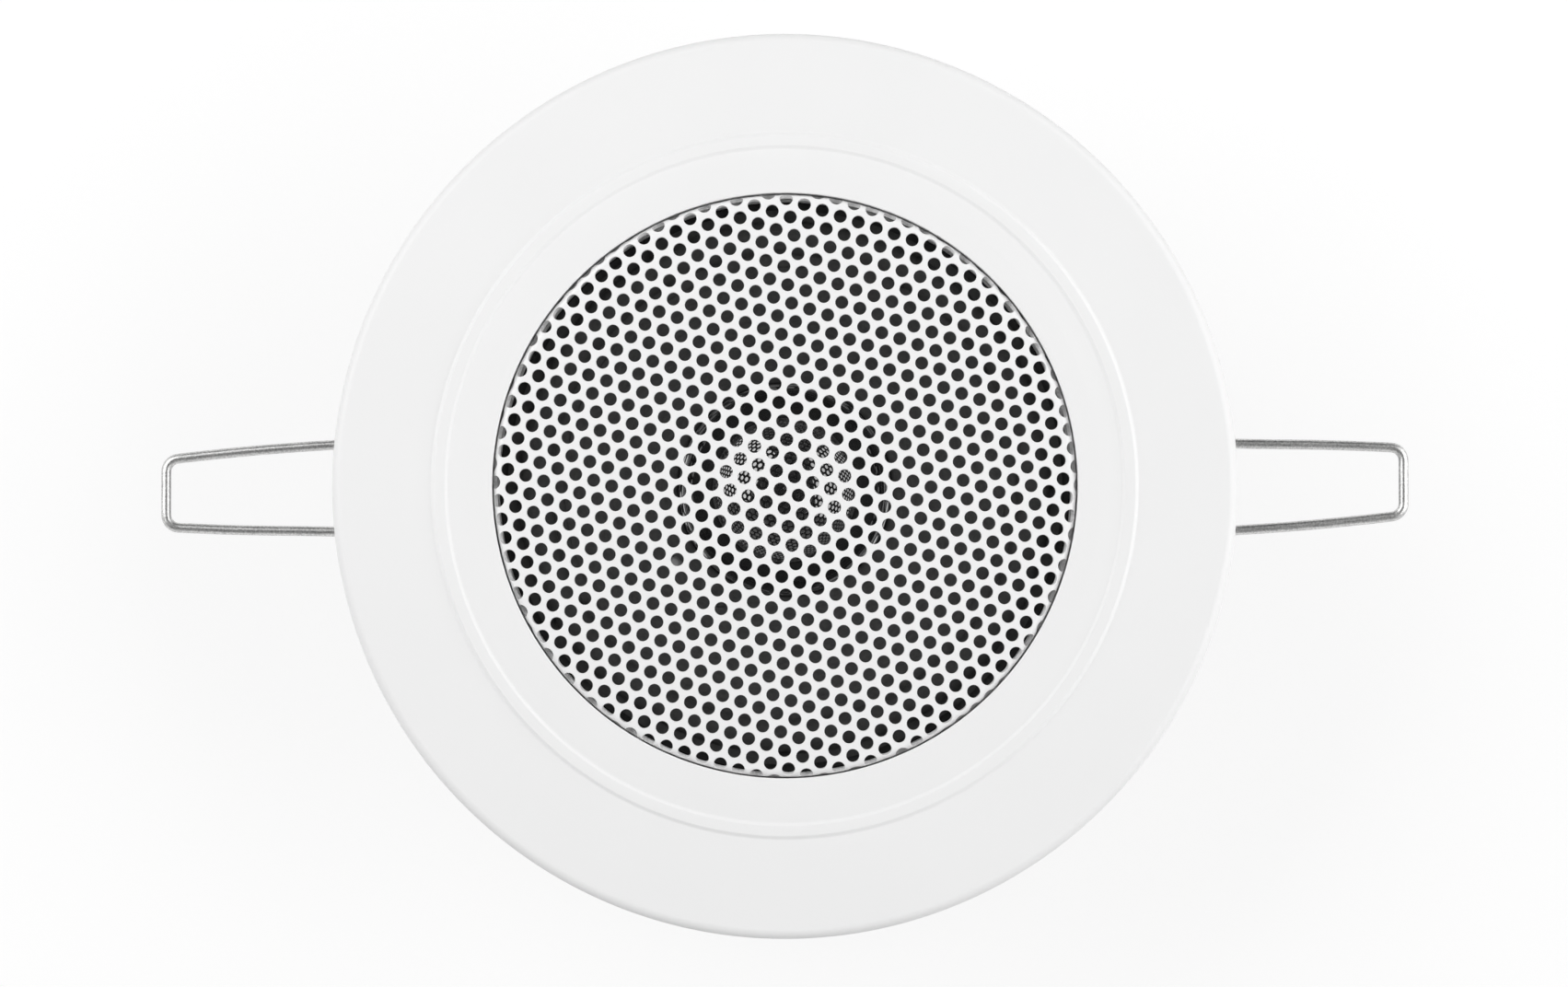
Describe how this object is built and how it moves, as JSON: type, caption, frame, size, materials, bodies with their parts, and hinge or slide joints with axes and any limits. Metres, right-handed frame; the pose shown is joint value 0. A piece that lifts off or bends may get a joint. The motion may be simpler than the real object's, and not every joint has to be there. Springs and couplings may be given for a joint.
{
  "type": "in-ceiling speaker",
  "caption": "Round white in-ceiling speaker with a perforated domed grille, moulded bezel with a raised band, full-range driver and sprung wire clips that clamp it into a ceiling cut-out.",
  "frame": {"origin": "centre of the bezel flange's rear face, in the plane of the ceiling", "axes": "+Z out of the front face into the room, the clips along +X and -X, the driver towards -Z"},
  "size_m": [0.1988, 0.143, 0.0559],
  "materials": {
    "white_moulding": "fine satin moulded white",
    "white_painted_sheet": "white powder coat",
    "gasket_foam": "closed-cell foam",
    "plated_screw": "bright zinc plate",
    "black_painted_steel": "black satin paint",
    "black_rubber": "matt rubber",
    "spider_cloth": "resin-stiffened woven cloth",
    "plated_iron": "zinc-plated iron",
    "ferrite": "ground ferrite",
    "brown_laminate": "paper laminate",
    "brass": "tinned brass",
    "braided_copper": "braided tinsel cord",
    "bright_wire": "bright drawn spring wire",
    "black_paper": "pressed black pulp",
    "black_gloss_cap": "glossy black",
    "former_film": "amber film",
    "copper_winding": "enamelled copper wire"
  },
  "bodies": {
    "housing": {"bezel": "white_moulding", "grille": "white_painted_sheet", "driver_gasket": "gasket_foam", "driver_screws": "plated_screw", "basket": "black_painted_steel", "surround": "black_rubber", "spider": "spider_cloth", "top_plate": "plated_iron", "magnet": "ferrite", "yoke": "plated_iron", "plate_rivets": "plated_screw", "terminal_board": "brown_laminate", "terminal_eyelet": "brass", "positive_tab": "brass", "negative_tab": "brass", "positive_lead": "braided_copper", "negative_lead": "braided_copper", "right_clip_pin": "plated_screw", "left_clip_pin": "plated_screw", "right_clip_coils": "bright_wire", "left_clip_coils": "bright_wire"},
    "cone_assembly": {"cone": "black_paper", "dust_cap": "black_gloss_cap", "coil_former": "former_film", "voice_coil": "copper_winding", "lead_eyelets": "brass"},
    "right_clip": {"right_clip_loop": "bright_wire"},
    "left_clip": {"left_clip_loop": "bright_wire"}
  },
  "joints": [
    {"name": "cone_travel", "type": "slide", "parent": "housing", "child": "cone_assembly", "axis": [0, 0, 1], "range_m": [-0.0015, 0.0015], "stiffness_N_per_m": 1000, "deforming": ["surround", "spider", "positive_lead", "negative_lead"]},
    {"name": "right_clip_swing", "type": "hinge", "parent": "housing", "child": "right_clip", "pos_m": [0.0592, 0, -0.012], "axis": [0, 1, 0], "range_deg": [-30, 90], "stiffness_Nm_per_rad": 0.3, "deforming": ["right_clip_coils"]},
    {"name": "left_clip_swing", "type": "hinge", "parent": "housing", "child": "left_clip", "pos_m": [-0.0592, 0, -0.012], "axis": [0, -1, 0], "range_deg": [-30, 90], "stiffness_Nm_per_rad": 0.3, "deforming": ["left_clip_coils"]}
  ]
}
